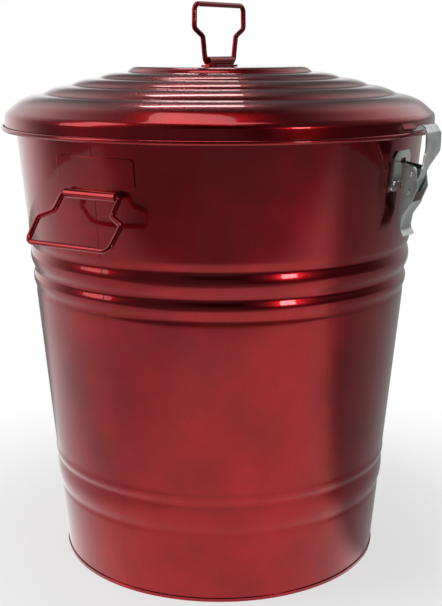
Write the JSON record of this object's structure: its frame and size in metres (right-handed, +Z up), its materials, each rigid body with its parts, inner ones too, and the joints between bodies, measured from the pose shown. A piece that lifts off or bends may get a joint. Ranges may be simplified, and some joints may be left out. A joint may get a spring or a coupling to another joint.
{
  "type": "lidded waste can",
  "caption": "Tapered round steel waste can with a ribbed lift-off lid, drop wire handles and toggle latches.",
  "frame": {"origin": "middle of the can's base, at the floor", "axes": "+Z up; side handles at -X and +X; latches at -Y and +Y; the wall's seam at -X"},
  "size_m": [0.3736, 0.3616, 0.4372],
  "materials": {
    "red_lacquered_steel": "glossy candy red lacquer over steel",
    "zinc_plated_steel": "bright zinc plate on pressed steel"
  },
  "bodies": {
    "can": {"can_shell": "red_lacquered_steel", "can_bottom": "red_lacquered_steel", "rim_wire": "zinc_plated_steel", "side_bracket_left": "red_lacquered_steel", "side_bracket_right": "red_lacquered_steel", "latch_base_front": "zinc_plated_steel", "latch_base_rear": "zinc_plated_steel", "base_rivets_front": "zinc_plated_steel", "base_rivets_rear": "zinc_plated_steel", "lever_pin_front": "zinc_plated_steel", "lever_pin_rear": "zinc_plated_steel"},
    "lid": {"lid_shell": "red_lacquered_steel", "lid_bracket": "red_lacquered_steel"},
    "lid_handle": {"lid_bail": "red_lacquered_steel"},
    "left_handle": {"side_bail_left": "red_lacquered_steel"},
    "right_handle": {"side_bail_right": "red_lacquered_steel"},
    "front_lever": {"latch_lever_front": "zinc_plated_steel", "claw_pin_front": "zinc_plated_steel"},
    "rear_lever": {"latch_lever_rear": "zinc_plated_steel", "claw_pin_rear": "zinc_plated_steel"},
    "front_claw": {"latch_claw_front": "zinc_plated_steel"},
    "rear_claw": {"latch_claw_rear": "zinc_plated_steel"}
  },
  "joints": [
    {"name": "lid_lift", "type": "slide", "parent": "can", "child": "lid", "axis": [0, 0, 1], "range_m": [0, 0.03]},
    {"name": "lid_handle_swing", "type": "hinge", "parent": "lid", "child": "lid_handle", "pos_m": [0, 0, 0.39307], "axis": [1, 0, 0], "range_deg": [-90, 90]},
    {"name": "left_handle_swing", "type": "hinge", "parent": "can", "child": "left_handle", "pos_m": [-0.15842, 0, 0.3055], "axis": [0, 1, 0], "range_deg": [-45, 110]},
    {"name": "right_handle_swing", "type": "hinge", "parent": "can", "child": "right_handle", "pos_m": [0.15842, 0, 0.3055], "axis": [0, -1, 0], "range_deg": [-45, 110]},
    {"name": "front_lever_turn", "type": "hinge", "parent": "can", "child": "front_lever", "pos_m": [0, -0.16704, 0.317], "axis": [-1, 0, 0], "range_deg": [0, 75]},
    {"name": "front_claw_turn", "type": "hinge", "parent": "front_lever", "child": "front_claw", "pos_m": [0, -0.16534, 0.304], "axis": [-1, 0, 0], "range_deg": [-100, 0]},
    {"name": "rear_lever_turn", "type": "hinge", "parent": "can", "child": "rear_lever", "pos_m": [0, 0.16704, 0.317], "axis": [1, 0, 0], "range_deg": [0, 75]},
    {"name": "rear_claw_turn", "type": "hinge", "parent": "rear_lever", "child": "rear_claw", "pos_m": [0, 0.16534, 0.304], "axis": [1, 0, 0], "range_deg": [-100, 0]}
  ],
  "couplings": [
    {"joint": "front_lever_turn", "follows": "lid_lift", "rad_per_m": 43.63},
    {"joint": "front_claw_turn", "follows": "lid_lift", "rad_per_m": -58.17},
    {"joint": "rear_lever_turn", "follows": "lid_lift", "rad_per_m": 43.63},
    {"joint": "rear_claw_turn", "follows": "lid_lift", "rad_per_m": -58.17}
  ]
}
